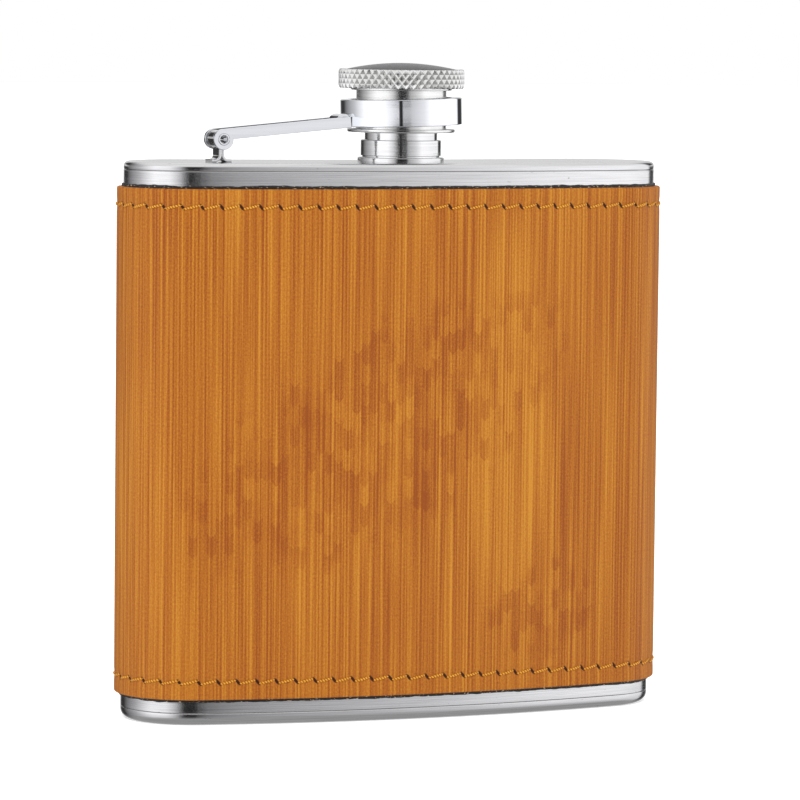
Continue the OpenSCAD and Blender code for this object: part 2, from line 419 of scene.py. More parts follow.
def make_handling():
    """Marks of use on bare metal: soft smudges, and sparse short dark scuffs."""
    tree, given, leave = new_group(
        "handling_marks",
        {"Vector": "Vector", "Smudge Size": "Float", "Scuff Share": "Float"},
        {"Smudges": "Float", "Scuffs": "Float"},
    )
    scale = calc(tree, "DIVIDE", 1.0, given["Smudge Size"])
    inputs = {"Vector": given["Vector"], "Scale": scale, "Detail": 3.0, "Roughness": 0.55}
    cloud = add(tree, "TexNoise", inputs).outputs["Fac"]
    smudges = spread(tree, cloud, 0.45, 0.7, smooth=True)
    speck = stretched_noise(tree, given["Vector"], (1.4 * MM, 1.4 * MM, 0.45 * MM), 4.0, 0.6, 3.0)
    limit = calc(tree, "SUBTRACT", 1.0, given["Scuff Share"])
    above = calc(tree, "SUBTRACT", speck, limit)
    scuffs = spread(tree, above, 0.0, 0.05, smooth=True)
    tree.links.new(smudges, leave.inputs["Smudges"])
    tree.links.new(scuffs, leave.inputs["Scuffs"])
    return tree


def make_needle_hole():
    """A slanted slit where the needle went in, in a plane whose X and Y are in millimetres."""
    tree, given, leave = new_group("needle_slit", {"Along": "Float", "Across": "Float"}, {"Slit": "Float"})
    place = add(tree, "CombineXYZ", {0: given["Along"], 1: given["Across"]}).outputs[0]
    slant = {"Vector": place, "Angle": math.radians(52)}
    turned = add(tree, "VectorRotate", slant, rotation_type="Z_AXIS").outputs[0]
    half_size = (0.74, 0.26, 1.0)
    shaped = add(tree, "VectorMath", {0: turned, 1: half_size}, operation="DIVIDE").outputs[0]
    length = add(tree, "VectorMath", {0: shaped}, operation="LENGTH").outputs["Value"]
    tree.links.new(spread(tree, length, 1.15, 0.6, smooth=True), leave.inputs["Slit"])
    return tree


brushing = make_brushing()
handling = make_handling()
needle_slit = make_needle_hole()


# ---------- materials ----------


def make_metal(name, colour, dull, rough, line_height, line_depth, smudge_size, scuff_share):
    """A bare metal with level brushing or turning lines, smudges and scuffs."""
    material, tree, shader, coords = new_material(name)
    place = coords["Object"]
    lines = use_group(tree, brushing, {"Vector": place, "Line Height": line_height, "Depth": line_depth})
    used = {"Vector": place, "Smudge Size": smudge_size, "Scuff Share": scuff_share}
    marks = use_group(tree, handling, used)
    shade = spread(tree, lines["Lines"], 0.25, 0.75)
    base = mix_colour(tree, shade, dull, colour)
    base = mix_colour(tree, marks["Scuffs"], base, tuple(0.3 * c for c in colour[:3]) + (1,))
    grain = calc(tree, "MULTIPLY", shade, 0.35 * rough)
    smear = calc(tree, "MULTIPLY", marks["Smudges"], 0.35 * rough)
    finish = calc(tree, "ADD", calc(tree, "ADD", grain, smear), 0.7 * rough)
    looks = {"Base Color": base, "Metallic": 1.0, "Roughness": finish, "Normal": lines["Normal"]}
    plug_in(tree, shader, looks)
    return material


steel = make_metal(
    "satin_steel",
    colour=(0.68, 0.68, 0.68, 1),
    dull=(0.50, 0.50, 0.51, 1),
    rough=0.17,
    line_height=0.16 * MM,
    line_depth=0.09,
    smudge_size=12 * MM,
    scuff_share=0.31,
)
polished = make_metal(
    "polished_steel",
    colour=(0.72, 0.72, 0.72, 1),
    dull=(0.58, 0.58, 0.58, 1),
    rough=0.12,
    line_height=0.3 * MM,
    line_depth=0.12,
    smudge_size=5 * MM,
    scuff_share=0.22,
)
chrome = make_metal(
    "chrome",
    colour=(0.78, 0.79, 0.81, 1),
    dull=(0.73, 0.74, 0.77, 1),
    rough=0.055,
    line_height=0.6 * MM,
    line_depth=0.02,
    smudge_size=6 * MM,
    scuff_share=0.18,
)
turned_steel = make_metal(
    "turned_steel",
    colour=(0.78, 0.78, 0.77, 1),
    dull=(0.62, 0.62, 0.61, 1),
    rough=0.2,
    line_height=0.22 * MM,
    line_depth=0.35,
    smudge_size=4 * MM,
    scuff_share=0.2,
)


def figure_mask(tree, parts, centre, half_size, slope, ragged):
    """Where a part of the printed figure shows: a soft oval that climbs with a slope round the wrap."""
    along = calc(tree, "SUBTRACT", parts[0], float(centre[0]))
    climbed = calc(tree, "MULTIPLY_ADD", along, -slope, parts[1])
    up = calc(tree, "SUBTRACT", climbed, float(centre[1]))
    shares = {0: calc(tree, "DIVIDE", along, half_size[0]), 1: calc(tree, "DIVIDE", up, half_size[1])}
    place = add(tree, "CombineXYZ", shares).outputs[0]
    reach = add(tree, "VectorMath", {0: place}, operation="LENGTH").outputs["Value"]
    return spread(tree, calc(tree, "ADD", reach, ragged), 1.25, 0.95, smooth=True)


def make_leather():
    """Leather printed like wood, with upright lines, scales, fine pores, and needle slits darkened by
    painted shade.

    Its UV map gives millimetres round the wrap and up it.
    """
    material, tree, shader, _ = new_material("stitched_leather")
    uv = add(tree, "UVMap", None, uv_map="wrap").outputs[0]
    parts = add(tree, "SeparateXYZ", {0: uv}).outputs

    hair = stretched_noise(tree, uv, (0.46, 60.0, 1.0), 2.0, 0.65)
    streak = stretched_noise(tree, uv, (1.0, 90.0, 1.0), 2.0, 0.55, 5.0)
    patch = stretched_noise(tree, uv, (7.0, 55.0, 1.0), 2.0, 0.5, 9.0)
    pore = stretched_noise(tree, uv, (0.24, 0.36, 1.0), 2.0, 0.7, 2.0)
    # Printed lines a little over half a millimetre apart, which wander with the streaks
    line_spacing = 0.58
    wander = 9.0
    even = calc(tree, "MULTIPLY", parts[0], FULL / line_spacing)
    line = calc(tree, "SINE", calc(tree, "MULTIPLY_ADD", streak, wander, even))

    # Columns of short scales, each with its own tone, where the figure shows
    scale_width = 1.5
    scale_height = 3.3
    wobble = calc(tree, "MULTIPLY_ADD", patch, 0.8, parts[0])
    count = calc(tree, "DIVIDE", wobble, scale_width)
    column = calc(tree, "FLOOR", count)
    shift = add(tree, "TexWhiteNoise", {"W": column}, noise_dimensions="1D").outputs["Value"]
    bow = calc(tree, "PINGPONG", count, 0.5)
    rise = calc(tree, "MULTIPLY_ADD", bow, 0.5, calc(tree, "MULTIPLY", shift, 3.0))
    row = calc(tree, "FLOOR", calc(tree, "MULTIPLY_ADD", parts[1], 1 / scale_height, rise))
    cell = add(tree, "CombineXYZ", {0: column, 1: row}).outputs[0]
    block = add(tree, "TexWhiteNoise", {"Vector": cell}, noise_dimensions="2D").outputs["Value"]
    ragged = calc(tree, "MULTIPLY", block, 0.5)

    # The figure's ovals: middle, half size and slope. Two are on the front and one is at the back
    shown = None
    ovals = (((30, 47), (31, 17), 0.45), ((59, 17), (9, 8), 0.2), ((156, 40), (34, 15), -0.4))
    for centre, half_size, slope in ovals:
        inside = figure_mask(tree, parts, centre, half_size, slope, ragged)
        shown = inside if shown is None else calc(tree, "MAXIMUM", shown, inside)
    block_tone = calc(tree, "MULTIPLY_ADD", block, 0.13, -0.095)
    golden = figure_mask(tree, parts, (52, 50), (9, 40), 0.0, calc(tree, "MULTIPLY", streak, 0.6))

    # The tone is a weighted sum of all of these, and the ramp gives it its colour
    tone = calc(tree, "MULTIPLY", hair, 0.72)
    printed = ((line, 0.045), (streak, 0.2), (patch, 0.2), (pore, 0.44))
    for part, weight in (*printed, (block_tone, shown), (golden, 0.07)):
        tone = calc(tree, "MULTIPLY_ADD", part, weight, tone)
    level = spread(tree, tone, 0.62, 0.97)
    base = add(tree, "ValToRGB", {"Fac": level})
    ramp = base.color_ramp
    ramp.elements[0].color = (0.235, 0.055, 0.007, 1)
    ramp.elements[1].color = (0.47, 0.200, 0.022, 1)
    middle = ramp.elements.new(0.5)
    middle.color = (0.35, 0.115, 0.011, 1)

    # Needle slits between the stitches of the two rows, coloured near black as painted shade in the holes
    upper = calc(tree, "GREATER_THAN", parts[1], (wrap_low.z + wrap_high.z) / 2 / MM)
    row_z = spread(tree, upper, 0.0, 1.0, lower_row_z / MM, upper_row_z / MM)
    across = calc(tree, "SUBTRACT", parts[1], row_z)
    stitches = calc(tree, "DIVIDE", parts[0], stitch_pitch / MM)
    phase = calc(tree, "SUBTRACT", stitches, calc(tree, "ROUND", stitches))
    along = calc(tree, "MULTIPLY", phase, stitch_pitch / MM)
    slit = use_group(tree, needle_slit, {"Along": along, "Across": across})["Slit"]
    # Painted shade: the slits are coloured near black for the shade inside the needle holes.
    slit_painted_shade = (0.035, 0.010, 0.004, 1)
    base_colour = mix_colour(tree, slit, base.outputs[0], slit_painted_shade)

    grain = calc(tree, "MULTIPLY_ADD", pore, 0.6, calc(tree, "MULTIPLY", hair, 0.5))
    height = calc(tree, "MULTIPLY_ADD", slit, -1.5, grain)
    bump = add(tree, "Bump", {"Height": height, "Strength": 0.35, "Distance": 0.08 * MM})
    rough = spread(tree, hair, 0.3, 0.7, 0.46, 0.58)
    looks = {"Base Color": base_colour, "Roughness": rough, "Normal": bump.outputs[0]}
    plug_in(tree, shader, looks | {"Specular IOR Level": 0.14})
    return material


def make_lining():
    """The dark backing cloth and glue that show past the wrap's edges, with painted glints on the glue."""
    material, tree, shader, coords = new_material("dark_backing")
    fuzz = stretched_noise(tree, coords["Object"], (0.5 * MM, 0.5 * MM, 0.25 * MM), 3.0, 0.7)
    painted_glue_glint = spread(tree, fuzz, 0.6, 0.66, smooth=True)
    # Painted highlight: pale specks in the colour stand for glue crumbs catching the light.
    base = mix_colour(tree, painted_glue_glint, (0.010, 0.008, 0.007, 1), (0.50, 0.42, 0.32, 1))
    bump = add(tree, "Bump", {"Height": fuzz, "Strength": 0.8, "Distance": 0.1 * MM})
    plug_in(tree, shader, {"Base Color": base, "Roughness": 0.6, "Normal": bump.outputs[0]})
    return material


def make_thread():
    """Golden twisted thread: slanting strands along each stitch, with painted shade in the grooves between
    them.
    """
    material, tree, shader, coords = new_material("golden_thread")
    uv = add(tree, "UVMap", None, uv_map="thread").outputs[0]
    parts = add(tree, "SeparateXYZ", {0: uv}).outputs
    turn = calc(tree, "MULTIPLY_ADD", parts[0], 2.2, parts[1])
    strand = calc(tree, "PINGPONG", turn, 0.5)
    strand = spread(tree, strand, 0.05, 0.4, smooth=True)
    tint = stretched_noise(tree, coords["Object"], (3 * MM, 3 * MM, 1 * MM), 2.0, 0.5)
    light = mix_colour(tree, tint, (0.56, 0.24, 0.022, 1), (0.74, 0.36, 0.040, 1))
    # Painted shade: the grooves between the strands are coloured dark brown, and the ridges carry the
    # thread's own golden tone.
    base = mix_colour(tree, strand, (0.26, 0.085, 0.008, 1), light)
    bump = add(tree, "Bump", {"Height": strand, "Strength": 0.7, "Distance": 0.06 * MM})
    looks = {"Base Color": base, "Roughness": 0.5, "Normal": bump.outputs[0]}
    plug_in(tree, shader, looks | {"Specular IOR Level": 0.15})
    return material


def make_dome_black():
    """A glossy black disc with fine dust."""
    material, tree, shader, coords = new_material("dome_black")
    dust = stretched_noise(tree, coords["Object"], (0.5 * MM, 0.5 * MM, 0.5 * MM), 4.0, 0.7)
    fleck = spread(tree, dust, 0.66, 0.74, smooth=True)
    base = mix_colour(tree, fleck, (0.012, 0.012, 0.013, 1), (0.06, 0.06, 0.06, 1))
    rough = spread(tree, dust, 0.3, 0.7, 0.2, 0.32)
    plug_in(tree, shader, {"Base Color": base, "Roughness": rough, "Specular IOR Level": 0.1})
    return material


def make_seal():
    """A pale silicone washer."""
    material, tree, shader, coords = new_material("seal_silicone")
    cloud = stretched_noise(tree, coords["Object"], (2 * MM, 2 * MM, 2 * MM), 3.0, 0.6)
    base = mix_colour(tree, cloud, (0.62, 0.62, 0.60, 1), (0.74, 0.74, 0.72, 1))
    bump = add(tree, "Bump", {"Height": cloud, "Strength": 0.2, "Distance": 0.1 * MM})
    plug_in(tree, shader, {"Base Color": base, "Roughness": 0.5, "Normal": bump.outputs[0]})
    return material


leather = make_leather()
lining = make_lining()
thread = make_thread()
dome_black = make_dome_black()
silicone = make_seal()


# ---------- steel flask ----------


def make_shell():
    """The thin tube that is the flask's wall."""
    mesh = bmesh.new()
    inner = half_t - sheet_t
    outline(mesh, band_section(inner, half_t, shell_low.z, shell_high.z, weld_edge))
    sweep_lap(mesh)
    finish_piece("steel_wall", mesh, steel, "flask", "steel", "body_shell")


def make_plate(name, face_z, skirt_z, edge_r, node, hole_r=None):
    """A pressed plate: a flat face, a round edge, and a skirt that is welded to the shell."""
    mesh = bmesh.new()
    under_z = face_z + math.copysign(sheet_t, skirt_z - face_z)
    inner = half_t - sheet_t
    rim = half_t - edge_r - 0.6 * MM
    outline(
        mesh,
        [
            (rim, under_z),
            (inner, under_z, edge_r - sheet_t),
            (inner, skirt_z),
            (half_t, skirt_z, weld_edge),
            (half_t, face_z, edge_r),
            (rim, face_z),
        ],
        closed=False,
    )
    sweep_lap(mesh)
    for level in (face_z, under_z):
        edges = [edge for edge in boundary(mesh) if abs(edge.verts[0].co.z - level) < 0.01 * MM]
        if hole_r:
            circle = bmesh.ops.create_circle(
                mesh, cap_ends=False, segments=72, radius=hole_r, matrix=Matrix.Translation((0, 0, level))
            )
            edges += list({edge for vert in circle["verts"] for edge in vert.link_edges})
        bmesh.ops.triangle_fill(mesh, use_beauty=True, edges=edges)
    if hole_r:
        bmesh.ops.bridge_loops(mesh, edges=boundary(mesh))
    finish_piece(name, mesh, steel, "flask", "steel", node)


def thread_helix(mesh, root_r, crest_r, low_z, turns):
    """A helical ridge with tapered ends, between a root and a crest radius."""
    steps = 48
    ridge = bmesh.new()
    bury = math.copysign(0.1 * MM, root_r - crest_r)
    outline(
        ridge,
        [
            (root_r + bury, low_z),
            (root_r, low_z),
            (crest_r, low_z + 0.3 * thread_pitch),
            (crest_r, low_z + 0.5 * thread_pitch),
            (root_r, low_z + 0.8 * thread_pitch),
            (root_r + bury, low_z + 0.8 * thread_pitch),
        ],
    )
    rise = Vector((0, 0, thread_pitch / steps))
    sections = [ridge.verts[:]]
    ends = everything(ridge)
    for _ in range(round(turns * steps)):
        spun = bmesh.ops.spin(
            ridge, geom=ends, cent=(0, 0, 0), axis=UP, dvec=rise, angle=FULL / steps, steps=1
        )
        ends = spun["geom_last"]
        sections.append(only_verts(ends))
    fade = steps // 6
    for index in range(fade):
        for section in (sections[index], sections[-1 - index]):
            for vert in section:
                radius = math.hypot(vert.co.x, vert.co.y)
                kept = root_r + bury + (radius - root_r - bury) * (index / fade) ** 0.7
                vert.co.x *= kept / radius
                vert.co.y *= kept / radius
    close_ends(ridge)
    bmesh.ops.recalc_face_normals(ridge, faces=ridge.faces)
    join(mesh, ridge)


def make_neck():
    """The welded neck: a foot, a collar over a groove, a plain stretch, and the threaded mouth."""
    mesh = bmesh.new()
    plate = top_high.z
    mouth = neck_high.z
    bore_r = 4.75 * MM
    root_r = 5.25 * MM
    crest_r = 5.75 * MM
    collar_r = 6.65 * MM
    groove_r = 6.4 * MM
    foot_r = neck_high.x
    foot_z = plate + 0.75 * MM
    groove_z = plate + 1.0 * MM
    collar_z = plate + 3.6 * MM
    waist_z = plate + 5.4 * MM
    outline(
        mesh,
        [
            (bore_r, neck_low.z),
            (bore_r, mouth, 0.18 * MM),
            (root_r, mouth, 0.2 * MM),
            (root_r, waist_z),
            (neck_hole_r, waist_z, 0.15 * MM),
            (neck_hole_r, collar_z),
            (collar_r, collar_z, 0.12 * MM),
            (collar_r, groove_z, 0.1 * MM),
            (groove_r, groove_z),
            (groove_r, foot_z),
            (foot_r, foot_z, 0.16 * MM),
            (foot_r, plate),
            (neck_hole_r, plate),
            (neck_hole_r, neck_low.z),
        ],
    )
    lathe(mesh, 112)
    thread_helix(mesh, root_r, crest_r, waist_z + 0.1 * MM, thread_turns - 0.2)
    finish_piece("turned_neck", mesh, polished, "flask", "polished_steel", "neck")


def lead_strip(mesh, place, heading, moves):
    """Leads the strip's open end along an upright path. A move is (length, 0) or (radius, turn)."""
    ends = everything(mesh)
    for size, turn in moves:
        ahead = Vector((math.cos(heading), 0, math.sin(heading)))
        left = Vector((-ahead.z, 0, ahead.x))
        if turn:
            centre = place + left * math.copysign(size, turn)
            steps = max(3, round(abs(math.degrees(turn)) / 8))
            spun = bmesh.ops.spin(mesh, geom=ends, cent=centre, axis=(0, -1, 0), angle=turn, steps=steps)
            ends = spun["geom_last"]
            place = centre + Matrix.Rotation(turn, 3, (0, -1, 0)) @ (place - centre)
            heading += turn
        else:
            step = ahead * size
            spun = bmesh.ops.spin(mesh, geom=ends, cent=place, axis=UP, dvec=step, angle=0.0, steps=1)
            ends = spun["geom_last"]
            place = place + step
    close_ends(mesh)


def strip_section(mesh, place, heading, width, thick):
    """Draws a strip's section, square to its heading, with the strip's width along Y."""
    edge = 0.22 * thick
    outline(mesh, tube_section(-width / 2, width / 2, -thick / 2, thick / 2, edge))
    stand = Matrix(((0, 1, 0), (1, 0, 0), (0, 0, 1))).to_4x4()
    turn = Matrix.Rotation(heading, 4, (0, -1, 0))
    bmesh.ops.transform(mesh, matrix=Matrix.Translation(place) @ turn @ stand, verts=mesh.verts)


def make_bracket():
    """A strip bent up from one foot, round the hinge pin, and back down to the other foot."""
    mesh = bmesh.new()
    thick = 0.47 * MM
    knuckle_r = 1.25 * MM
    neck_bend_r = 0.45 * MM
    foot_bend_r = 0.9 * MM
    half_foot = (bracket_high.x - bracket_low.x) / 2
    foot_z = bracket_low.z + thick / 2
    lean = math.asin((neck_bend_r + thick / 2) / (knuckle_r + neck_bend_r))
    stem = hinge.z - (knuckle_r + neck_bend_r) * math.cos(lean) - foot_z - foot_bend_r
    foot = half_foot - thick / 2 - foot_bend_r
    start = Vector((hinge.x - half_foot, 0, foot_z))
    strip_section(mesh, start, 0, bracket_high.y - bracket_low.y, thick)
    quarter = HALF / 2
    lead_strip(
        mesh,
        start,
        0,
        [
            (foot, 0),
            (foot_bend_r, quarter),
            (stem, 0),
            (neck_bend_r, quarter - lean),
            (knuckle_r, -(FULL - 2 * lean)),
            (neck_bend_r, quarter - lean),
            (stem, 0),
            (foot_bend_r, quarter),
            (foot, 0),
        ],
    )
    finish_piece("rolled_bracket", mesh, polished, "flask", "polished_steel", "hinge_bracket")


# ---------- wrap and stitching ----------


def dent(distance, level):
    """How far the leather is drawn in by the thread at a place on its face."""
    phase = (distance / stitch_pitch) % 1
    near_hole = 1 - min(1, min(phase, 1 - phase) / 0.3)
    depth = 0.08 + 0.2 * near_hole**2
    away = min(abs(level - upper_row_z), abs(level - lower_row_z))
    return depth * MM * math.exp(-((away / (0.75 * MM)) ** 2))


def seam_dent(distance):
    """How far the leather is drawn in along the two upright rows at the back."""
    middle = seam_at - lap_len / 2
    from_seam = lap_len / 2 - abs(distance - middle)
    groove = 0.1 * math.exp(-(((from_seam - seam_row_off) / (0.6 * MM)) ** 2))
    edge = 0.12 * math.exp(-((from_seam / (0.5 * MM)) ** 2))
    return (groove + edge) * MM


def make_wrap():
    """The leather: a strip whose ends meet at the back, drawn in along its stitches."""
    mesh = bmesh.new()
    fine = [step * 0.22 * MM for step in range(-8, 9)]
    rows = [upper_row_z + step for step in fine] + [lower_row_z + step for step in fine]
    plain = 12
    low, high = rows[-1], rows[0]
    rows += [low + (high - low) * step / plain for step in range(1, plain)]
    rows.sort(reverse=True)
    corners = [(lining_off, wrap_low.z), (lining_off, wrap_high.z), (wrap_off, wrap_high.z, leather_edge)]
    corners += [(wrap_off, level) for level in rows]
    corners += [(wrap_off, wrap_low.z, leather_edge)]
    outline(mesh, corners)
    sweep_lap(mesh, gap=seam_half, density=3.4)
    close_ends(mesh)
    middle = (lining_off + wrap_off) / 2
    for vert in mesh.verts:
        distance, outwards, off = wrap_distance(vert.co)
        if off > middle:
            vert.co -= outwards * (dent(distance, vert.co.z) + seam_dent(distance))
    uv = mesh.loops.layers.uv.new("wrap")
    for face in mesh.faces:
        for loop in face.loops:
            place = loop.vert.co
            loop[uv].uv = (wrap_distance(place)[0] / MM, place.z / MM)
    wrap = finish_piece(
        "wrap_face", mesh, leather, "flask", "wrap", "leather_wrap", smooth_to=60, level_faces=False
    )


def make_lining_band():
    """The dark backing, proud of the wrap at both edges and cut by hand."""
    mesh = bmesh.new()
    inner = half_t + 0.02 * MM
    edge = 0.12 * MM
    outline(mesh, band_section(inner, lining_off, lining_low.z, lining_high.z, edge))
    sweep_lap(mesh, density=3)
    middle = (lining_low.z + lining_high.z) / 2
    for vert in mesh.verts:
        ragged = noise.noise(vert.co * 900) * 0.12 * MM + noise.noise(vert.co * 160) * 0.08 * MM
        vert.co.z += ragged if vert.co.z > middle else -ragged
    backing = finish_piece("wrap_backing", mesh, lining, "flask", "lining", "wrap_lining")


def stitch_template():
    """One stitch: an arch of thread along X, with its highest point at the origin and -Y outwards."""
    mesh = bmesh.new()
    arch_r = (stitch_chord**2 / 4 + stitch_drop**2) / (2 * stitch_drop)
    reach = math.asin(stitch_chord / 2 / arch_r)
    bmesh.ops.create_circle(
        mesh, cap_ends=False, segments=6, radius=thread_r, matrix=Matrix.Rotation(HALF / 2, 4, "Y")
    )
    centre = Vector((0, arch_r, 0))
    bmesh.ops.rotate(mesh, cent=centre, matrix=Matrix.Rotation(-reach, 3, "Z"), verts=mesh.verts)
    ring = everything(mesh)
    steps = 8
    bmesh.ops.spin(mesh, geom=ring, cent=centre, axis=UP, angle=2 * reach, steps=steps)
    for vert in mesh.verts:
        away = min(1, abs(vert.co.x) / (stitch_chord / 2))
        vert.co.z *= 1.12 - 0.35 * away**2
    uv = mesh.loops.layers.uv.new("thread")
    for face in mesh.faces:
        turns = []
        for loop in face.loops:
            place = loop.vert.co
            turns.append(math.atan2(place.z, arch_line(place.x, arch_r) - place.y) / FULL)
        crosses = max(turns) - min(turns) > 0.5
        for loop, turn in zip(face.loops, turns):
            wrapped = turn + 1 if crosses and turn < 0 else turn
            loop[uv].uv = (loop.vert.co.x / MM, wrapped)
    close_ends(mesh)
    bmesh.ops.recalc_face_normals(mesh, faces=mesh.faces)
    return mesh_data("stitch", mesh)


def arch_line(x, arch_r):
    """How far the arch's middle line lies behind its highest point at x."""
    return arch_r - math.sqrt(max(0, arch_r**2 - x**2))


def sew(name, places, node):
    """Makes one piece of the stitches at each (place, turn about Z, rise)."""
    mesh = bmesh.new()
    template = stitch_template()
    for place, turn, rise in places:
        old = set(mesh.verts)
        mesh.from_mesh(template)
        new = [vert for vert in mesh.verts if vert not in old]
        turned = Matrix.Rotation(turn, 4, "Z") @ Matrix.Rotation(-rise, 4, "Y")
        matrix = Matrix.Translation(place) @ turned
        bmesh.ops.transform(mesh, matrix=matrix, verts=new)
    bpy.data.meshes.remove(template)
    finish_piece(name, mesh, thread, "flask", "thread", node, smooth_to=80, level_faces=False)


def make_stitch_row(name, level, node):
    """A row of stitches round the wrap."""
    places = []
    for index in range(stitch_count):
        place, turn = wrap_place((index + 0.5) * stitch_pitch)
        sway = 0.06 * MM * noise.noise(Vector((index * 0.7, level * 1000, 0)))
        places.append((place + UP * (level + sway), turn, stitch_rise))
    sew(name, places, node)


def make_seam_rows():
    """Two upright rows, one on each side of the butt seam."""
    places = []
    low = seam_low.z + 1.2 * MM
    high = seam_high.z - 1.2 * MM
    count = 22
    for side in (-1, 1):
        for index in range(count + 1):
            place, turn = wrap_place(seam_at + side * seam_row_off)
            level = low + (high - low) * index / count
            places.append((place + UP * level, turn, HALF / 2))
    sew("seam_stitches", places, "seam_stitching")


# ---------- hinge, arm and ring ----------


def make_strap(mesh, inner_y):
    """One strap of the arm: an eye for the pin, and a bar that rises to the ring."""
    strap = bmesh.new()
    bar_low = eye_r - strap_h
    meet = math.asin(bar_low / eye_r)
    arc = strap.verts.new((0, 0, eye_r))
    spun = bmesh.ops.spin(
        strap, geom=[arc], cent=(0, 0, 0), axis=(0, -1, 0), angle=1.5 * HALF + meet, steps=44
    )
    last = only_verts(spun["geom_last"])[0]
    bar_len = -hinge.x - 9.55 * MM
    low_end = strap.verts.new((bar_len, 0, bar_low))
    high_end = strap.verts.new((bar_len, 0, eye_r))
    for start, end in ((last, low_end), (low_end, high_end), (high_end, arc)):
        strap.edges.new((start, end))
    bmesh.ops.create_circle(
        strap,
        cap_ends=False,
        segments=32,
        radius=(pin_high.z - pin_low.z) / 2,
        matrix=Matrix.Rotation(HALF / 2, 4, "X"),
    )
    bmesh.ops.triangle_fill(strap, use_beauty=True, edges=strap.edges)
    bmesh.ops.dissolve_limit(strap, angle_limit=0.001, verts=strap.verts, edges=strap.edges)
    grown = bmesh.ops.extrude_face_region(strap, geom=strap.faces[:])
    bmesh.ops.translate(strap, verts=only_verts(grown["geom"]), vec=(0, strap_t, 0))
    bmesh.ops.recalc_face_normals(strap, faces=strap.faces)
    break_edges(strap, 0.09 * MM, segments=3, sharper_than=60)
    place = Matrix.Translation((hinge.x, inner_y, hinge.z)) @ Matrix.Rotation(strap_slope, 4, (0, -1, 0))
    bmesh.ops.transform(strap, matrix=place, verts=strap.verts)
    join(mesh, strap)


def join(mesh, other):
    """Adds another mesh's geometry to a mesh, and frees the other."""
    data = mesh_data("join", other)
    mesh.from_mesh(data)
    bpy.data.meshes.remove(data)


def make_arm():
    """Two straps from the pin to the ring, with an arched bridge between them."""
    mesh = bmesh.new()
    make_strap(mesh, -strap_gap / 2 - strap_t)
    make_strap(mesh, strap_gap / 2)
    bridge = bmesh.new()
    bridge_r = 1.2 * MM
    centre = Vector((-10.7 * MM, 0, ring_centre.z - 1.8 * MM))
    foot_turn = math.radians(14)
    start = centre + bridge_r * Vector((-math.cos(foot_turn), 0, math.sin(foot_turn)))
    heading = HALF / 2 - foot_turn
    strip_section(bridge, start, heading, strap_gap + 0.4 * MM, 0.55 * MM)
    lead_strip(bridge, start, heading, [(bridge_r, -(HALF - 2 * foot_turn))])
    join(mesh, bridge)
    finish_piece("two_strap_arm", mesh, chrome, "arm", "chrome", "hinge_arm")


def turn_piece(name, corners, steps, material, body, slot, node, place=None, closed=True):
    """Makes a piece that is turned round the Z axis, and puts it in its place."""
    mesh = bmesh.new()
    outline(mesh, corners, closed)
    lathe(mesh, steps)
    if place is not None:
        bmesh.ops.transform(mesh, matrix=place, verts=mesh.verts)
    finish_piece(name, mesh, material, body, slot, node)


def make_pin():
    """A tubular pin with rounded ends."""
    outer = (pin_high.z - pin_low.z) / 2
    hole = 0.65 * MM
    half = (pin_high.y - pin_low.y) / 2
    corners = tube_section(hole, outer, -half, half, 0.1 * MM)
    place = Matrix.Translation(hinge) @ Matrix.Rotation(HALF / 2, 4, "X")
    turn_piece("tubular_pin", corners, 48, chrome, "arm", "chrome", "hinge_pin", place)


def make_ring():
    """The ring that holds the cap: a plain chromed band with broken edges, tilted a little on the cap."""
    outer = (ring_high.y - ring_low.y) / 2
    corners = tube_section(ring_inner_r, outer, -ring_h / 2, ring_h / 2, 0.14 * MM)
    place = Matrix.Translation(ring_centre) @ Matrix.Rotation(-ring_tilt, 4, "Y")
    turn_piece("holding_ring", corners, 160, chrome, "arm", "chrome", "swivel_ring", place)


# ---------- cap ----------


def knurl_hollow(turn, level):
    """How deep the crossed knurl is, from 0 on a ridge to 1 in the middle of a diamond."""
    deepest = 0
    for shift in (0, 0.5):
        across = (turn + shift + 0.5) % 1 - 0.5
        up = (level + shift + 0.5) % 1 - 0.5
        deepest = max(deepest, 1 - 2 * (abs(across) + abs(up)))
    return deepest


def make_head():
    """The cap's knurled rim, its sleeve with the inner thread, and the recess for the dome."""
    mesh = bmesh.new()
    rim_r = head_high.x
    top_z = head_high.z
    rim_low = top_z - 3.15 * MM
    row_h = (top_z - rim_low) / (2 * knurl_steps)
    sleeve_r = 7.45 * MM
    boss_r = 8.35 * MM
    dome_r = dome_high.x
    bore_r = 6.75 * MM
    shelf_z = top_z - 1.0 * MM
    knurl_rows = [(rim_r, top_z - row_h * index) for index in range(2 * knurl_steps + 1)]
    outline(
        mesh,
        [
            (0, shelf_z),
            (dome_r + 0.03 * MM, shelf_z),
            (dome_r + 0.03 * MM, top_z - 0.05 * MM, 0.08 * MM),
            (rim_r - 0.7 * MM, top_z - 0.02 * MM),
            *knurl_rows,
            (boss_r, rim_low + 0.05 * MM),
            (boss_r, rim_low - 0.3 * MM, 0.1 * MM),
            (sleeve_r, rim_low - 0.3 * MM),
            (sleeve_r, head_low.z, 0.12 * MM),
            (bore_r, head_low.z, 0.12 * MM),
            (bore_r, seal_high.z),
            (0, seal_high.z),
        ],
        closed=False,
    )
    steps = knurl_count * knurl_steps
    lathe(mesh, steps)
    cut_knurl(mesh, rim_r, rim_low, row_h)
    thread_helix(mesh, bore_r, 6.55 * MM, head_low.z + 0.5 * MM, thread_turns)
    finish_piece("knurled_cap", mesh, turned_steel, "cap", "cap_steel", "cap_head", smooth_to=24)


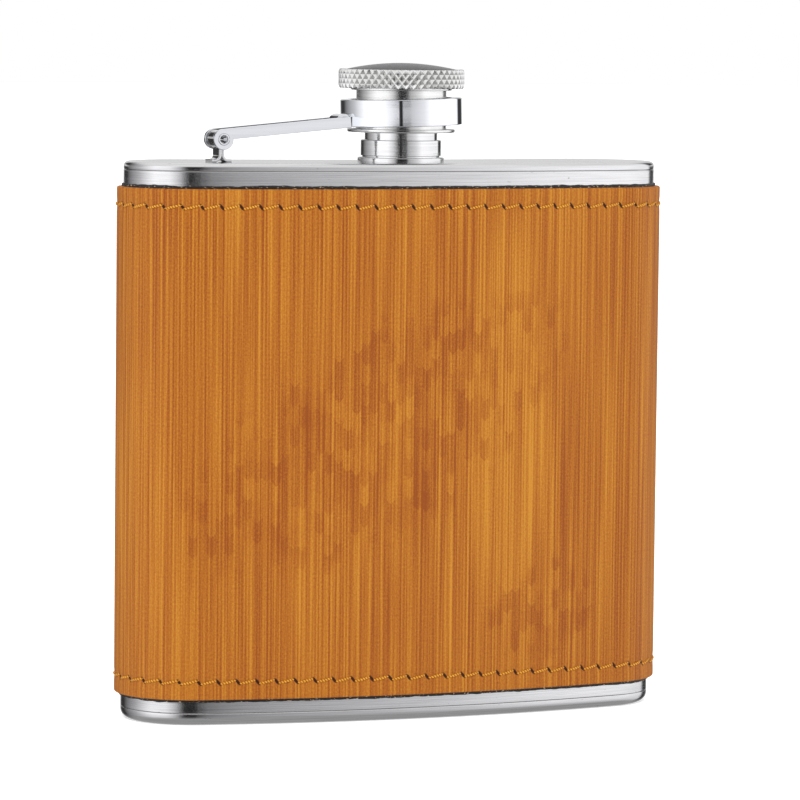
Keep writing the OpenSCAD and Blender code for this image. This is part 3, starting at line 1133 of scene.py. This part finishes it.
def cut_knurl(mesh, rim_r, rim_low, row_h):
    """Presses the diamonds into the rim, and breaks its two edges."""
    diamond_h = knurl_steps * row_h
    on_rim = {vert for vert in mesh.verts if abs(math.hypot(vert.co.x, vert.co.y) - rim_r) < 0.02 * MM}
    faces = [face for face in mesh.faces if all(vert in on_rim for vert in face.verts)]
    for vert in on_rim:
        turn = math.atan2(vert.co.y, vert.co.x) / FULL * knurl_count
        level = (vert.co.z - rim_low) / diamond_h
        hollow = knurl_hollow(turn, level)
        radius = rim_r - knurl_depth * hollow
        edge = min(level, 2 - level) * diamond_h
        if edge < 0.1 * MM:
            radius = min(radius, rim_r - knurl_chamfer)
            inwards = 1 if level < 1 else -1
            vert.co.z += inwards * 1.1 * knurl_chamfer * hollow
        vert.co.x *= radius / rim_r
        vert.co.y *= radius / rim_r
    for face in faces:
        corners = list(face.verts)
        pairs = (corners[0::2], corners[1::2])
        outer = max(pairs, key=lambda pair: sum(math.hypot(vert.co.x, vert.co.y) for vert in pair))
        bmesh.utils.face_split(face, outer[0], outer[1])


def make_retainer():
    """The collar pressed onto the sleeve under the ring."""
    inner = 7.46 * MM
    outer = retainer_high.x
    corners = [
        (inner, retainer_low.z),
        (outer, retainer_low.z, 0.22 * MM),
        (outer, retainer_high.z, 0.08 * MM),
        (inner, retainer_high.z),
    ]
    turn_piece("pressed_collar", corners, 128, turned_steel, "cap", "cap_steel", "cap_retainer")


def make_dome():
    """The black domed disc in the cap's recess."""
    mesh = bmesh.new()
    radius = dome_high.x
    rise = 1.0 * MM
    sphere_r = (radius**2 + rise**2) / (2 * rise)
    apex = mesh.verts.new((0, 0, dome_high.z))
    reach = math.asin(radius / sphere_r)
    centre = (0, 0, dome_high.z - sphere_r)
    spun = bmesh.ops.spin(mesh, geom=[apex], cent=centre, axis=(0, 1, 0), angle=reach, steps=16)
    edge = only_verts(spun["geom_last"])[0]
    low = mesh.verts.new((radius, 0, dome_low.z))
    middle = mesh.verts.new((0, 0, dome_low.z))
    mesh.edges.new((edge, low))
    mesh.edges.new((low, middle))
    round_corner(mesh, edge, 0.12 * MM)
    lathe(mesh, 128)
    finish_piece("domed_disc", mesh, dome_black, "cap", "dome", "cap_dome", smooth_to=50)


def make_washer():
    """The sealing washer inside the cap."""
    radius = seal_high.x
    edge = 0.15 * MM
    corners = [(0, seal_low.z), (radius, seal_low.z, edge), (radius, seal_high.z, edge), (0, seal_high.z)]
    turn_piece("sealing_disc", corners, 72, silicone, "cap", "seal", "cap_seal", closed=False)


make_shell()
make_plate("pressed_top", top_high.z, top_low.z, top_edge_r, "top_plate", hole_r=neck_hole_r)
make_plate("pressed_base", bottom_low.z, bottom_high.z, base_edge_r, "bottom_plate")
make_neck()
make_bracket()
make_wrap()
make_lining_band()
make_stitch_row("upper_stitches", upper_row_z, "top_stitching")
make_stitch_row("lower_stitches", lower_row_z, "bottom_stitching")
make_seam_rows()
make_arm()
make_pin()
make_ring()
make_head()
make_retainer()
make_dome()
make_washer()


# ---------- camera, light and floor ----------

camera_azimuth = math.radians(-21.45)
camera_elevation = math.radians(4.584)
camera_roll = math.radians(0.609)
camera_distance = 0.8142
aim = Vector((0.0003, -0.0001, 0.0517))


def make_camera():
    data = bpy.data.cameras.new("camera")
    data.lens = 221.6
    data.sensor_width = 36
    data.clip_start = 0.01
    data.clip_end = 50
    camera = new_object("camera", data)
    turn = (
        Matrix.Rotation(camera_azimuth, 4, "Z")
        @ Matrix.Rotation(HALF / 2 - camera_elevation, 4, "X")
        @ Matrix.Rotation(camera_roll, 4, "Z")
    )
    back = turn.to_3x3() @ UP
    camera.matrix_world = Matrix.Translation(aim + back * camera_distance) @ turn
    bpy.context.scene.camera = camera


def light_ramp(tree, share, stops):
    """The tent's brightness round the flask. A stop is (angle from the camera in degrees, level)."""
    node = add(tree, "ValToRGB", {"Fac": share})
    ramp = node.color_ramp
    while len(ramp.elements) < len(stops):
        ramp.elements.new(0.5)
    for element, (angle, level) in zip(ramp.elements, stops):
        element.position = (angle + 180) / 360
        element.color = (level, level, level * 1.02, 1)
    return node.outputs[0]


def make_studio():
    """Soft light from all round, with the dark gaps that a light tent leaves in polished metal."""
    world = bpy.data.worlds.new("studio")
    bpy.context.scene.world = world
    world.use_nodes = True
    tree = world.node_tree
    tree.nodes.clear()
    direction = add(tree, "TexCoord").outputs["Generated"]
    turn = {"Vector": direction, "Angle": -camera_azimuth}
    turned = add(tree, "VectorRotate", turn, rotation_type="Z_AXIS").outputs[0]
    parts = add(tree, "SeparateXYZ", {0: turned}).outputs
    around = calc(tree, "ARCTAN2", parts[0], calc(tree, "MULTIPLY", parts[1], -1.0))
    share = spread(tree, around, -HALF, HALF)
    left = [(-180, 0.9), (-163, 0.8), (-156, 0.05), (-137, 0.05), (-127, 0.25), (-98, 0.7)]
    left += [(-76, 1.3), (-64, 1.6), (-36, 1.5)]
    right = [(62, 1.5), (75, 1.5), (131, 1.3), (136, 0.05), (156, 0.05), (163, 0.8), (180, 0.9)]
    slot = [(-4, 1.0), (-2.5, 0.03), (2.5, 0.03), (4, 0.75), (22, 0.8), (45, 1.05)]
    gap = [(-20, 0.85), (-11, 0.3), (-7, 0.03), (16.5, 0.03), (21, 0.55), (45, 1.0)]
    narrow = light_ramp(tree, share, left + slot + right)
    wide = light_ramp(tree, share, left + gap + right)
    # The dark gap narrows to a slot along a low strip of light that climbs to the right
    strip_climb = 0.0264
    strip_middle = -0.0422
    strip_z = calc(tree, "MULTIPLY_ADD", around, strip_climb, strip_middle)
    from_strip = calc(tree, "ABSOLUTE", calc(tree, "SUBTRACT", parts[2], strip_z))
    lit = mix_colour(tree, spread(tree, from_strip, 0.0055, 0.0075), narrow, wide)
    dim = spread(tree, parts[2], -0.13, -0.08, 0.82, 1.0)
    dimmed = add(tree, "CombineColor", {0: dim, 1: dim, 2: dim}).outputs[0]
    lit = mix_colour(tree, 1.0, lit, dimmed, "MULTIPLY")
    behind = spread(tree, calc(tree, "ABSOLUTE", around), 2.2, 2.5)
    above = spread(tree, parts[2], 0.0, 0.015)
    horizon = calc(tree, "MULTIPLY", above, spread(tree, parts[2], 0.16, 0.12))
    lit = mix_colour(tree, calc(tree, "MULTIPLY", behind, horizon), lit, (0.75, 0.75, 0.75, 1))
    overhead = spread(tree, parts[2], 0.35, 0.75, smooth=True)
    below = spread(tree, parts[2], -0.3, -0.7, smooth=True)
    lit = mix_colour(tree, overhead, lit, (1.15, 1.15, 1.15, 1))
    lit = mix_colour(tree, below, lit, (0.45, 0.45, 0.45, 1))
    white = add(tree, "Background", {"Color": (1, 1, 1, 1), "Strength": 1.0}).outputs[0]
    tent = add(tree, "Background", {"Color": lit, "Strength": 1.0}).outputs[0]
    seen = add(tree, "LightPath").outputs["Is Camera Ray"]
    both = add(tree, "MixShader", {0: seen, 1: tent, 2: white}).outputs[0]
    out = tree.nodes.new("ShaderNodeOutputWorld")
    tree.links.new(both, out.inputs["Surface"])


def make_softbox(name, place, size, power):
    """A square soft light that faces the flask."""
    data = bpy.data.lights.new(name, "AREA")
    data.shape = "SQUARE"
    data.size = size
    data.energy = power
    light = new_object(name, data)
    place = Vector(place)
    facing = (place - aim).to_track_quat("Z", "Y").to_matrix().to_4x4()
    light.matrix_world = Matrix.Translation(place) @ facing
    light.visible_glossy = False


def make_floor():
    """A white floor, lit evenly enough to melt into the tent."""
    mesh = bmesh.new()
    bmesh.ops.create_grid(mesh, x_segments=1, y_segments=1, size=6)
    data = mesh_data("floor", mesh)
    material, tree, shader, _ = new_material("pale_floor")
    white = (0.93, 0.93, 0.93, 1)
    looks = {"Base Color": white, "Roughness": 0.9, "Emission Color": white, "Emission Strength": 0.45}
    plug_in(tree, shader, looks)
    data.materials.append(material)
    floor = new_object("floor", data)
    floor.visible_glossy = False


make_camera()
make_studio()
make_softbox("key", (-0.5, -0.9, 1.1), 0.8, 9)
make_floor()
bpy.context.scene.view_settings.view_transform = "Standard"
